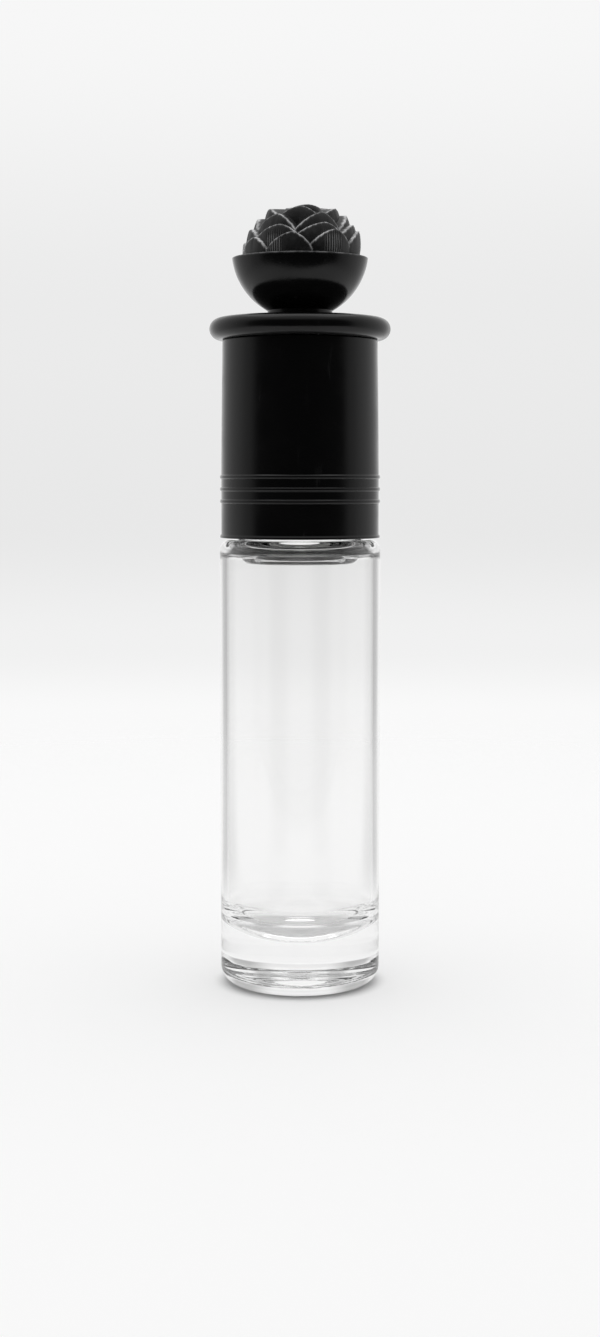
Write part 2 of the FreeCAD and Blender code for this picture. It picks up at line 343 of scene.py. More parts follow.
@dataclass(frozen=True)
class SatinPlastic(Finish):
    """Satin moulded plastic with clouds of gloss and a fine skin."""

    name: str
    colour: Colour
    clouded: Colour
    roughness: float
    glow: float = 0.0
    cloud_scale: float = 300.0
    skin_scale: float = 4200.0
    skin: float = 0.000008

    def shade(self, graph: Graph) -> None:
        """Builds the nodes.

        Args:
            graph: Graph of the material.
        """
        clouds = graph.noise(self.cloud_scale, detail=4.0)
        graph.surface({
            "Base Color": graph.mix(clouds, self.colour, self.clouded),
            "Roughness": self.roughness + 0.12 * clouds,
            "Subsurface Weight": self.glow,
            "Subsurface Radius": (0.001, 0.001, 0.0009),
            "Normal": graph.bump(graph.noise(self.skin_scale, detail=2.0), self.skin),
        })


@dataclass(frozen=True)
class BallSteel(Finish):
    """Polished steel with hair-fine rolling marks."""

    name: str = "polished_ball_steel"
    colour: Colour = (0.7, 0.705, 0.715)
    stained: Colour = (0.47, 0.475, 0.48)
    mark_scale: float = 900.0
    film_scale: float = 350.0
    mark_depth: float = 0.000002

    def shade(self, graph: Graph) -> None:
        """Builds the nodes.

        Args:
            graph: Graph of the material.
        """
        marks = graph.noise(self.mark_scale, (1.0, 6.0, 1.0), 5.0)
        film = graph.noise(self.film_scale)
        graph.surface({
            "Base Color": graph.mix(film.within(0.4, 0.8), self.colour, self.stained),
            "Metallic": 1.0,
            "Roughness": 0.2 + 0.12 * marks.within(0.45, 0.8),
            "Normal": graph.bump(marks, self.mark_depth),
        })


@dataclass(frozen=True)
class SealRubber(Finish):
    """Soft white sealing rubber with a dull, slightly pitted face."""

    name: str = "soft_white_seal"
    colour: Colour = (0.74, 0.73, 0.7)
    pitted: Colour = (0.6, 0.59, 0.56)
    pit_scale: float = 5200.0
    pit_depth: float = 0.00003

    def shade(self, graph: Graph) -> None:
        """Builds the nodes.

        Args:
            graph: Graph of the material.
        """
        pits = graph.noise(self.pit_scale)
        graph.surface({
            "Base Color": graph.mix(pits.within(0.5, 0.8), self.colour, self.pitted),
            "Roughness": 0.6 + 0.2 * pits,
            "Normal": graph.bump(pits, self.pit_depth),
        })


@dataclass(frozen=True)
class Corner:
    """Corner of a half section: radius, height and rounding, and how far apart points lie on the side after it."""

    radius: float
    height: float
    rounding: float = 0.0
    step: float = 0.6


def unit(vector: np.ndarray) -> np.ndarray:
    """Vector of length 1 in the same direction."""
    return vector / np.linalg.norm(vector)


def half_section(rows: Sequence[tuple[float, ...]], closed: bool = True) -> np.ndarray:
    """Points of a half section whose corners are rounded.

    An arc of radius q that touches both sides of a corner begins q / tan(a / 2) away from it, where a is the angle
    between the sides, and its centre lies q / sin(a / 2) along the line that halves that angle. Sides and arcs are
    divided evenly.

    Args:
        rows: What makes each Corner, in order, with the solid on the left.
        closed: Whether the last corner joins the first.

    Returns:
        An array of (radius, height) rows.
    """
    corners = [Corner(*row) for row in rows]
    places = np.array([(corner.radius, corner.height) for corner in corners])
    count = len(corners)
    arcs = []
    for i, corner in enumerate(corners):
        here = places[i]
        if not corner.rounding:
            arcs.append(here[None])
            continue
        back = unit(places[i - 1] - here)
        ahead = unit(places[(i + 1) % count] - here)
        half = math.acos(np.clip(back @ ahead, -1, 1)) / 2
        reach = corner.rounding / math.tan(half)
        centre = here + unit(back + ahead) * corner.rounding / math.sin(half)
        sweep = math.pi - 2 * half
        share = np.linspace(0, 1, max(ARC_POINTS, math.ceil(corner.rounding * sweep / ARC_STEP)))[:, None]
        start, end = here + back * reach - centre, here + ahead * reach - centre
        turn = np.sin((1 - share) * sweep) * start + np.sin(share * sweep) * end
        arcs.append(centre + turn / math.sin(sweep))
    runs = []
    for i, arc in enumerate(arcs):
        runs.append(arc)
        if closed or i < count - 1:
            gap = arcs[(i + 1) % count][0] - arc[-1]
            parts = max(1, math.ceil(np.linalg.norm(gap) / corners[i].step))
            runs.append(arc[-1] + gap * np.linspace(0, 1, parts + 1)[1:-1, None])
    points = np.concatenate(runs)
    gaps = np.linalg.norm(np.diff(points, axis=0, append=points[:1]), axis=1)
    keep = gaps > 1e-6
    keep[-1] |= not closed
    return points[keep]


def bell(offset: np.ndarray) -> np.ndarray:
    """Bell curve exp(-x^2) of an offset x."""
    return np.exp(-(offset**2))


def ball_arc(radius: float, centre: float, start: float, end: float, count: int) -> np.ndarray:
    """Arc (R cos a, c + R sin a) of a ball of radius R about height c, at even angles between two heights."""
    angles = np.linspace(math.asin((start - centre) / radius), math.asin((end - centre) / radius), count)
    return np.stack([radius * np.cos(angles), centre + radius * np.sin(angles)], axis=1)


def with_rings(section: np.ndarray, wall: float, reach: float, radius: float, places: np.ndarray) -> np.ndarray:
    """Raises rings of round section on a straight wall.

    The wall becomes the larger of its own line and every ring's outline R - q + sqrt(q^2 - d^2), with R the ring's
    reach, q the radius of its section and d the distance from its height.

    Args:
        section: Rows of (radius, height).
        wall: Radius of the wall.
        reach: Reach of the rings.
        radius: Radius of their section.
        places: Their heights.

    Returns:
        The new rows.
    """
    radii, heights = section.T
    rise = heights - places[:, None]
    outline = reach - radius + np.sqrt(np.clip(radius**2 - rise**2, 0, None))
    raised = np.maximum(radii, outline.max(axis=0))
    return np.stack([np.where(np.isclose(radii, wall), raised, radii), heights], axis=1)


def turned(section: np.ndarray, columns: int, ridge: np.ndarray | float = 0.0) -> np.ndarray:
    """Grid made by turning a section about the Z axis.

    Each point is (r cos a, r sin a, z) for its row's height z, its own radius r and its column's angle a.

    Args:
        section: Rows of (radius, height).
        columns: Number of columns.
        ridge: What each row and column adds to the radius.

    Returns:
        An array of rows by columns by 3.
    """
    angles = np.linspace(0, TAU, columns, endpoint=False)
    radii = section[:, :1] + ridge * np.ones(columns)
    heights = section[:, 1:] * np.ones(columns)
    return np.stack([radii * np.cos(angles), radii * np.sin(angles), heights], axis=-1)


@dataclass
class Surface:
    """Closed grid of points that becomes faces, rows by columns by 3 in millimetres, and the mask of wear and painted
    highlight of its points.

    Rows run along a section and columns run round it, and the last column joins the first. With poles, the first
    and last rows are drawn together to one point each; without, the last row joins the first.
    """

    grid: np.ndarray
    poles: bool = False
    wear_and_highlight: np.ndarray | float = 0.0

    def flat(self, values: np.ndarray) -> np.ndarray:
        """Lays grid values out as one row for each vertex, poles last.

        Args:
            values: Rows by columns, with or without a last axis.

        Returns:
            The values in the order of the vertices.
        """
        if not self.poles:
            return values.reshape(-1, *values.shape[2:])
        inner = values[1:-1].reshape(-1, *values.shape[2:])
        return np.concatenate([inner, values[0, :1], values[-1, :1]])

    def faces(self) -> tuple[np.ndarray, np.ndarray]:
        """Quads of the grid and the fans at its poles, all facing outwards.

        Returns:
            An array of quads and an array of triangles.
        """
        rows, columns = self.grid.shape[:2]
        rows -= 2 * self.poles
        index = np.arange(rows * columns).reshape(rows, columns)
        low, high = (index[:-1], index[1:]) if self.poles else (index, np.roll(index, -1, axis=0))
        quads = np.stack([low, np.roll(low, -1, axis=1), np.roll(high, -1, axis=1), high], axis=-1).reshape(-1, 4)
        if not self.poles:
            return quads, np.zeros((0, 3), int)
        first, last = index[0], index[-1]
        start, end = np.full(columns, index.size), np.full(columns, index.size + 1)
        fans = [(start, np.roll(first, -1), first), (last, np.roll(last, -1), end)]
        return quads, np.concatenate([np.stack(fan, axis=1) for fan in fans])


def fill_mesh(name: str, surfaces: Sequence[Surface], crease: float) -> bpy.types.Mesh:
    """Puts surfaces into one mesh.

    Args:
        name: Name of the mesh.
        surfaces: The closed surfaces.
        crease: Angle in degrees past which an edge is sharp.

    Returns:
        The mesh, in metres.
    """
    points = [surface.flat(surface.grid) for surface in surfaces]
    starts = np.cumsum([0] + [len(block) for block in points])
    quads, fans = zip(*(surface.faces() for surface in surfaces))
    quads = np.concatenate([block + start for block, start in zip(quads, starts)])
    fans = np.concatenate([block + start for block, start in zip(fans, starts)])
    corners = np.concatenate([quads.ravel(), fans.ravel()])
    loops = np.concatenate([np.arange(len(quads)) * 4, quads.size + np.arange(len(fans)) * 3])
    mesh = bpy.data.meshes.new(name)
    mesh.vertices.add(starts[-1])
    mesh.vertices.foreach_set("co", (np.concatenate(points) * MM).astype(np.float32).ravel())
    mesh.loops.add(len(corners))
    mesh.loops.foreach_set("vertex_index", corners.astype(np.int32))
    mesh.polygons.add(len(loops))
    mesh.polygons.foreach_set("loop_start", loops.astype(np.int32))
    mesh.update(calc_edges=True)
    mesh.validate()
    mesh.polygons.foreach_set("use_smooth", np.ones(len(mesh.polygons), bool))
    mesh.set_sharp_from_angle(angle=math.radians(crease))
    # Mask of wear and painted highlight for every point, kept as a point attribute.
    wear_and_highlights = [surface.wear_and_highlight + np.zeros(surface.grid.shape[:2]) for surface in surfaces]
    wear_and_highlight = np.concatenate([surface.flat(values) for surface, values in zip(surfaces, wear_and_highlights)])
    if wear_and_highlight.any():
        mesh.attributes.new("wear_and_highlight", "FLOAT", "POINT").data.foreach_set("value", wear_and_highlight.astype(np.float32))
    return mesh


def add_object(name: str, data: bpy.types.ID) -> bpy.types.Object:
    """Links a new object at the origin that shows a mesh, a light or a camera."""
    bpy.context.scene.collection.objects.link(made := bpy.data.objects.new(name, data))
    return made


def place(
    name: str, node: str, surfaces: Sequence[Surface], finish: Finish, body: Body, slot: Slot, crease: float = CREASE
) -> None:
    """Makes a piece that stands for a CAD node.

    Args:
        name: Name of the piece.
        node: CAD node that it stands for.
        surfaces: Its closed surfaces.
        finish: Its finish.
        body: Body that it rides on.
        slot: Material slot of the record; not used.
        crease: Angle in degrees past which an edge is sharp.
    """
    mesh = fill_mesh(name, surfaces, crease)
    mesh.materials.append(finish.material())
    piece = add_object(name, mesh)
    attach(piece, body.value)
    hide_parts(node)
    LOG.info("%s stands for %s: %d vertices, %d faces", name, node, len(mesh.vertices), len(mesh.polygons))


@dataclass(frozen=True)
class Thread:
    """Right-hand screw thread, a round ridge that climbs a turned wall."""

    start: float
    turns: float
    lead: float = 2.5
    height: float = 0.62
    half_width: float = 0.55
    fade: float = 0.14

    def ridge(self, section: np.ndarray, wall: float, columns: int) -> np.ndarray:
        """Height of the ridge over the wall.

        The crest lies at start + lead * t after t turns. At a distance d from it along the wall the ridge stands
        height * cos(pi d / 2 w) high, with w its half width, and it runs out over its first and last turn's fade.

        Args:
            section: Rows of (radius, height).
            wall: Radius of the wall that the ridge climbs.
            columns: Number of columns.

        Returns:
            Rows by columns of ridge heights, 0 off the wall.
        """
        angles = np.linspace(0, 1, columns, endpoint=False)[None]
        total = np.zeros((len(section), columns))
        for lap in range(math.ceil(self.turns) + 1):
            turn = angles + lap
            offset = (section[:, 1:] - self.start - self.lead * turn) / self.half_width
            ends = np.clip(turn / self.fade, 0, 1) * np.clip((self.turns - turn) / self.fade, 0, 1)
            total += np.cos(np.clip(offset, -1, 1) * math.pi / 2) * ends
        return total * self.height * np.isclose(section[:, :1], wall)


@dataclass
class GlassBottle:
    """Thick-based glass bottle with a threaded neck."""

    radius: float = 10.0
    cavity_radius: float = 9.15
    base_thickness: float = 5.7
    heel_rounding: float = 2.2
    floor_radius: float = 3.8
    floor_rise: float = 3.2
    floor_rounding: float = 13.4
    cavity_heel_rounding: float = 4.0
    push_up_radius: float = 5.5
    push_up_depth: float = 0.7
    shoulder: float = 55.9
    shoulder_rounding: float = 1.4
    ceiling: float = 54.9
    cavity_shoulder_rounding: float = 1.4
    throat: float = 53.0
    throat_ring_radius: float = 6.9
    throat_ring_flare: float = 0.6
    throat_rounding: float = 0.42
    throat_ring_rounding: float = 0.68
    throat_root_rounding: float = 0.3
    neck_root_rounding: float = 0.3
    lip_rounding: float = 0.4
    neck_radius: float = 7.4
    bore_radius: float = 5.95
    lip: float = 67.6
    thread: Thread = Thread(60.6, 1.5)
    push_up_rows: int = 24
    columns: int = 216
    fine: float = 0.3
    coarse: float = 1.2
    bore_step: float = 0.8
    thread_step: float = 0.11

    def build(self) -> Surface:
        """Turns the glass section and raises the thread on the neck.

        The push-up under the base is a wave, depth * (1 + cos(pi r / R)) / 2, that ends level at its radius R.

        Returns:
            The closed surface.
        """
        reach = np.linspace(0, self.push_up_radius, self.push_up_rows)[:-1]
        push_up = self.push_up_depth * (1 + np.cos(math.pi * reach / self.push_up_radius)) / 2
        ring_root = self.throat_ring_radius + self.throat_ring_flare
        outside = half_section([
            (self.push_up_radius, 0, 0, self.fine),
            (self.radius, 0, self.heel_rounding, self.coarse),
            (self.radius, self.shoulder, self.shoulder_rounding, self.fine),
            (self.neck_radius, self.shoulder, self.neck_root_rounding, self.thread_step),
            (self.neck_radius, self.lip, self.lip_rounding, self.fine),
            (self.bore_radius, self.lip, self.lip_rounding, self.bore_step),
            (self.bore_radius, self.throat, self.throat_rounding, self.fine),
            (self.throat_ring_radius, self.throat, self.throat_ring_rounding, self.fine),
            (ring_root, self.ceiling, self.throat_root_rounding, self.fine),
            (self.cavity_radius, self.ceiling, self.cavity_shoulder_rounding, self.coarse),
            (self.cavity_radius, self.base_thickness + self.floor_rise, self.cavity_heel_rounding, self.fine),
            (self.floor_radius, self.base_thickness, self.floor_rounding, self.fine),
            (0, self.base_thickness),
        ], closed=False)
        section = np.concatenate([np.stack([reach, push_up], axis=1), outside])
        ridge = self.thread.ridge(section, self.neck_radius, self.columns)
        return Surface(turned(section, self.columns, ridge), poles=True)

    def dress(self) -> None:
        """Places the bottle."""
        place("clear_bottle", "glass_bottle", [self.build()], ClearGlass(), Body.BOTTLE, Slot.GLASS)


@dataclass
class BallFitment:
    """Plastic fitment in the neck and the steel ball that it holds."""

    plug_radius: float = 5.72
    plug_bore: float = 4.97
    plug_bottom: float = 59.0
    lip: float = 67.6
    rib_reach: float = 5.92
    rib_radius: float = 0.35
    rib_pitch: float = 2.2
    rib_count: int = 3
    flange_radius: float = 7.15
    flange_top: float = 68.6
    collar_radius: float = 5.78
    ball_radius: float = 4.75
    ball_height: float = 68.9
    socket_radius: float = 4.83
    rim_rise: float = 1.7
    rim_wall: float = 0.55
    seat_radius: float = 3.8
    seat_web: float = 1.1
    seat_rounding: float = 0.15
    bore_rounding: float = 0.12
    plug_rounding: float = 0.4
    flange_rounding: float = 0.25
    collar_rounding: float = 0.2
    edge_rounding: float = 0.1
    rib_step: float = 0.07
    socket_rows: int = 48
    ball_rows: int = 97
    columns: int = 160

    def build_housing(self) -> Surface:
        """Turns the housing's section, with ribs round its plug.

        Returns:
            The closed surface.
        """
        rim = self.ball_height + self.rim_rise
        mouth = math.sqrt(self.socket_radius**2 - self.rim_rise**2)
        seat = self.ball_height - math.sqrt(self.socket_radius**2 - self.seat_radius**2)
        socket = ball_arc(self.socket_radius, self.ball_height, rim, seat, self.socket_rows)
        outside = half_section([
            (self.seat_radius, seat - self.seat_web, self.seat_rounding),
            (self.plug_bore, seat - self.seat_web, self.plug_rounding),
            (self.plug_bore, self.plug_bottom, self.bore_rounding),
            (self.plug_radius, self.plug_bottom, self.plug_rounding, self.rib_step),
            (self.plug_radius, self.lip, 0, 0.3),
            (self.flange_radius, self.lip, self.edge_rounding),
            (self.flange_radius, self.flange_top, self.flange_rounding),
            (self.collar_radius, self.flange_top, self.collar_rounding),
            (mouth + self.rim_wall, rim, self.flange_rounding),
            (mouth, rim),
        ], closed=False)
        section = np.concatenate([outside[:-1], socket[:-1], [[self.seat_radius, seat]]])
        ribs = self.plug_bottom + self.rib_pitch * np.arange(1, self.rib_count + 1)
        section = with_rings(section, self.plug_radius, self.rib_reach, self.rib_radius, ribs)
        return Surface(turned(section, self.columns))

    def build_ball(self) -> Surface:
        """Turns the ball from pole to pole.

        Returns:
            The closed surface.
        """
        low, high = self.ball_height - self.ball_radius, self.ball_height + self.ball_radius
        arc = ball_arc(self.ball_radius, self.ball_height, low, high, self.ball_rows)
        return Surface(turned(arc, self.columns), poles=True)

    def dress(self) -> None:
        """Places the housing and the ball."""
        natural = SatinPlastic("natural_fitment_plastic", (0.8, 0.8, 0.78), (0.86, 0.86, 0.85), 0.32, 0.25)
        place("ball_fitment", "roller_housing", [self.build_housing()], natural, Body.BOTTLE, Slot.NATURAL)
        place("steel_ball", "roller_ball", [self.build_ball()], BallSteel(), Body.BALL, Slot.STEEL)


@dataclass
class CapSeals:
    """Ring seal over the fitment's flange and the disc that presses on the ball."""

    washer_bore: float = 6.03
    washer_radius: float = 8.05
    washer_bottom: float = 68.6
    washer_top: float = 69.6
    pad_radius: float = 4.3
    pad_bottom: float = 73.75
    pad_top: float = 74.94
    rounding: float = 0.12
    pad_rounding: float = 0.2
    step: float = 0.2
    columns: int = 128

    def build_washer(self) -> Surface:
        """Turns the ring seal.

        Returns:
            The closed surface.
        """
        low, high = self.washer_bottom, self.washer_top
        bore, edge = self.washer_bore, self.washer_radius
        around = [(bore, low), (edge, low), (edge, high), (bore, high)]
        section = half_section([(*corner, self.rounding, self.step) for corner in around])
        return Surface(turned(section, self.columns))

    def build_pad(self) -> Surface:
        """Turns the disc seal.

        Returns:
            The closed surface.
        """
        section = half_section([
            (0, self.pad_bottom, 0, self.step),
            (self.pad_radius, self.pad_bottom, self.pad_rounding, self.step),
            (self.pad_radius, self.pad_top, self.rounding, self.step),
            (0, self.pad_top),
        ], closed=False)
        return Surface(turned(section, self.columns), poles=True)

    def dress(self) -> None:
        """Places both seals."""
        place("ring_seal", "seal_washer", [self.build_washer()], SealRubber(), Body.SEALS, Slot.SEAL)
        place("disc_seal", "ball_pad", [self.build_pad()], SealRubber(), Body.SEALS, Slot.SEAL)


@dataclass
class ScrewCap:
    """Screw cap: a threaded liner, the beaded shell over it and the disc with a rolled edge on top."""

    bottom: float = 56.15
    top: float = 80.43
    crown: float = 78.6
    shell_radius: float = 9.78
    shell_top_radius: float = 9.57
    shell_bore: float = 8.85
    hole_radius: float = 2.45
    lip_height: float = 0.45
    lip_proud: float = 0.15
    band_top: float = 64.45
    bead_radius: float = 0.3
    bead_proud: float = 0.16
    bead_start: float = 60.65
    bead_pitch: float = 1.5
    bead_count: int = 3
    liner_bottom: float = 56.65
    liner_bore: float = 8.2
    liner_radius: float = 8.8
    web_bottom: float = 69.6
    web_top: float = 70.6
    turret_bore: float = 6.38
    turret_radius: float = 7.18
    turret_ceiling: float = 74.95
    turret_top: float = 76.15
    vane_count: int = 6
    vane_thickness: float = 0.8
    vane_root: float = 6.88
    vane_bite: float = 0.3
    vane_rounding: float = 0.5
    vane_power: float = 0.35
    vane_columns: int = 32
    thread: Thread = Thread(56.85, 3.6)
    disc_radius: float = 11.16
    disc_top: float = 83.05
    lip_rounding: float = 0.08
    edge_rounding: float = 0.1
    top_rounding: float = 0.15
    crown_rounding: float = 0.5
    turret_rounding: float = 0.2
    bead_step: float = 0.04
    thread_step: float = 0.11
    columns: int = 192
    disc_columns: int = 256

    def build_shell(self) -> Surface:
        """Turns the shell, with beads round its band.

        Returns:
            The closed surface.
        """
        section = half_section([
            (self.shell_bore, self.bottom, self.lip_rounding),
            (self.shell_radius + self.lip_proud, self.bottom, self.lip_rounding),
            (self.shell_radius + self.lip_proud, self.bottom + self.lip_height / 2, self.edge_rounding),
            (self.shell_radius, self.bottom + self.lip_height, self.edge_rounding, self.bead_step),
            (self.shell_radius, self.band_top),
            (self.shell_top_radius, self.top, self.top_rounding),
            (self.hole_radius, self.top, self.edge_rounding),
            (self.hole_radius, self.crown, self.edge_rounding),
            (self.shell_bore, self.crown, self.crown_rounding),
        ])
        beads = self.bead_start + self.bead_pitch * np.arange(self.bead_count)
        section = with_rings(section, self.shell_radius, self.shell_radius + self.bead_proud, self.bead_radius, beads)
        return Surface(turned(section, self.columns))

    def build_liner(self) -> list[Surface]:
        """Turns the liner with its inner thread, and makes its vanes.

        Returns:
            The closed surfaces of the liner and of each vane.
        """
        section = half_section([
            (self.turret_bore, self.turret_ceiling, self.top_rounding),
            (self.turret_bore, self.web_bottom, self.edge_rounding),
            (self.liner_bore, self.web_bottom, self.edge_rounding, self.thread_step),
            (self.liner_bore, self.liner_bottom, self.top_rounding),
            (self.liner_radius, self.liner_bottom, self.top_rounding),
            (self.liner_radius, self.web_top, self.edge_rounding),
            (self.turret_radius, self.web_top, self.edge_rounding),
            (self.turret_radius, self.turret_top, self.turret_rounding),
            (0, self.turret_top),
        ], closed=False)
        section = np.concatenate([[[0, self.turret_ceiling]], section])
        ridge = self.thread.ridge(section, self.liner_bore, self.columns)
        body = Surface(turned(section, self.columns, -ridge), poles=True)
        return [body] + [self.build_vane(TAU * i / self.vane_count) for i in range(self.vane_count)]

    def build_vane(self, angle: float) -> Surface:
        """Makes one upright vane between the turret and the shell.

        Its plan is a rounded bar, (m + h |cos a|^p sign, t |sin a|^p sign) with the power p, whose outer end draws in
        at the top along a quarter circle, and whose first and last rows close to points.

        Args:
            angle: Direction of the vane.

        Returns:
            The closed surface.
        """
        low, high, drop = self.web_top - self.vane_bite, self.crown, self.vane_rounding
        straight, rounded = np.linspace(low, high - drop, 12), high - drop * np.linspace(0.9, 0, 9)
        heights = np.concatenate([[low], straight, rounded, [high]])
        rise = np.clip(heights - high + drop, 0, drop)
        reach = self.liner_radius - drop + np.sqrt(drop**2 - rise**2)
        around = np.linspace(0, TAU, self.vane_columns, endpoint=False)
        waves = (np.cos(around), np.sin(around))
        along, across = (np.sign(wave) * np.abs(wave) ** self.vane_power for wave in waves)
        middle, half = (reach + self.vane_root) / 2, (reach - self.vane_root) / 2
        full = np.ones(len(heights))
        full[[0, -1]] = 0
        out = middle[:, None] + np.outer(half * full, along)
        side = np.outer(full, across * self.vane_thickness / 2)
        grid = np.stack([
            out * math.cos(angle) - side * math.sin(angle),
            out * math.sin(angle) + side * math.cos(angle),
            heights[:, None] * np.ones(self.vane_columns),
        ], axis=-1)
        return Surface(grid, poles=True)

    def build_disc(self) -> Surface:
        """Turns the disc with its full-round edge.

        Returns:
            The closed surface.
        """
        edge = (self.disc_top - self.top) / 2
        section = half_section([
            (self.hole_radius, self.top, self.edge_rounding),
            (self.disc_radius, self.top, edge),
            (self.disc_radius, self.disc_top, edge),
            (self.hole_radius, self.disc_top, self.edge_rounding),
        ])
        return Surface(turned(section, self.disc_columns))

    def dress(self) -> None:
        """Places the liner, the shell and the disc."""
        satin = SatinPlastic("satin_liner_plastic", (0.018, 0.018, 0.019), (0.026, 0.026, 0.027), 0.38)
        place("screw_liner", "cap_liner", self.build_liner(), satin, Body.CAP, Slot.LINER)
        place("black_shell", "cap_shell", [self.build_shell()], BlackPlastic(), Body.CAP, Slot.BLACK)
        place("rolled_disc", "top_disc", [self.build_disc()], BlackPlastic(), Body.CAP, Slot.BLACK)


@dataclass(frozen=True)
class Tier:
    """Ring of petals: how many, and shares of the bloom's radius, of its height and of a petal's pitch.

    The lean raises the petals that face +X and lowers those that face -X, and the whole ring drifts towards +X.
    """

    petals: int
    belly_radius: float
    belly_height: float
    tip: float
    springing: float
    turn: float
    lean: float
    drift: float


@dataclass(frozen=True)
class Petal:
    """One petal: a ball's round belly inside a skewed pointed arch that runs out from the axis."""

    turn: float
    drift: float
    belly_radius: float
    belly_height: float
    tip: float
    springing: float
    half_width: float
    curve: float = 0.67
    skew_share: float = 0.2
    side_share: float = 0.52
    rise_share: float = 0.70
    flare: float = 0.16
    flare_width: float = 0.9
    rim: float = 0.07
    rim_width: float = 0.12
    flute: float = 0.02
    flutes: float = 15.0
    flute_inset: float = 1.08
    flute_width: float = 1.2
    waver: float = 0.04
    waves: Span = (9.0, 21.0)
    swell_start: float = 0.6

    @property
    def skew(self) -> float:
        """How far the tip lies to one side."""
        return self.half_width * self.skew_share

    def arch_circle(self, side: int) -> Triple:
        """Circle of one side of the arch, through its springing, its shoulder and the tip.

        Args:
            side: -1 for the left and 1 for the right.

        Returns:
            The centre's place across and up, and the radius.
        """
        reach = side * self.half_width - self.skew
        points = np.array([
            (side * self.half_width, self.springing),
            (self.skew + reach * self.side_share, self.springing + (self.tip - self.springing) * self.rise_share),
            (self.skew, self.tip),
        ])
        squares = (points**2).sum(axis=1)
        left = 2 * (points[1:] - points[0])
        across, up = np.linalg.solve(left, squares[1:] - squares[0])
        return across, up, math.hypot(*(points[0] - (across, up)))

    def reach(self, azimuth: np.ndarray, lift: np.ndarray) -> tuple[np.ndarray, np.ndarray]:
        """How far the petal reaches along rays from the middle of the bloom's seat.

        A ray leaves the belly at t = d.b + sqrt((d.b)^2 - b.b + R^2), with d the ray, b the belly's centre and R its
        radius, and leaves the arch at its upright side or at the circle of its curved side. The petal reaches to the
        nearer of the two. Near the arch's line the belly swells by a wide flare and a narrow rim, both bell curves
        of the distance to the line, which wavers a little, and fine flutes run up it.

        Args:
            azimuth: Direction of each ray round the axis.
            lift: Its angle above the seat.

        Returns:
            The reach of each ray, and how close its end is to the petal's edge, from 0 to 1.
        """
        turn = azimuth - self.turn
        out, across, up = np.cos(lift) * np.cos(turn), np.cos(lift) * np.sin(turn), np.sin(lift)
        drift_out, drift_across = self.drift * math.cos(self.turn), -self.drift * math.sin(self.turn)
        curve = self.belly_radius * self.curve
        offset = self.belly_radius - curve + drift_out
        along = out * offset + across * drift_across + up * self.belly_height
        inside = along**2 - offset**2 - drift_across**2 - self.belly_height**2 + curve**2
        belly = np.where(inside > 0, along + np.sqrt(np.clip(inside, 0, None)), 0)
        side = np.where(across * self.tip > up * (self.skew + drift_across), 1, -1)
        circles = {s: self.arch_circle(s) for s in (-1, 1)}
        middle_across, middle_up, radius = (
            np.where(side > 0, circles[1][i], circles[-1][i]) for i in range(3)
        )
        middle_across = middle_across + drift_across
        flat = np.hypot(across, up)
        nearest = (across * middle_across + up * middle_up) / flat
        left = radius**2 - middle_across**2 - middle_up**2 + nearest**2
        curved = (nearest + np.sqrt(np.clip(left, 0, None))) / flat
        upright = (self.half_width + np.sign(across) * drift_across) / np.maximum(np.abs(across), 1e-9)
        arch = np.where(upright * up < self.springing, upright, curved)
        across_end, up_end = belly * across - drift_across, belly * up
        to_arc = radius - np.hypot(belly * across - middle_across, up_end - middle_up)
        to_side = self.half_width - np.abs(across_end)
        inset = np.where(up_end > self.springing, to_arc, to_side)
        slow, fast = self.waves
        inset = inset + self.waver * (np.sin(slow * across_end + self.turn) + np.sin(fast * across_end) / 2)
        edge = np.clip(inset, 0, None)
        start = self.springing * self.swell_start
        above = np.clip((up_end - start) / (self.tip - start), 0, 1)
        swell = self.flare * bell(edge / self.flare_width) + self.rim * bell(edge / self.rim_width)
        lines = np.cos(across_end / self.half_width * self.flutes)
        flutes = self.flute * lines * bell((edge - self.flute_inset) / self.flute_width)
        reach = np.minimum(belly + (swell + flutes) * above, arch)
        close = bell(inset / self.rim_width) * above
        shown = (belly * out > drift_out) & (belly > 0)
        return np.where(shown, reach, 0), np.where(shown, close, 0)


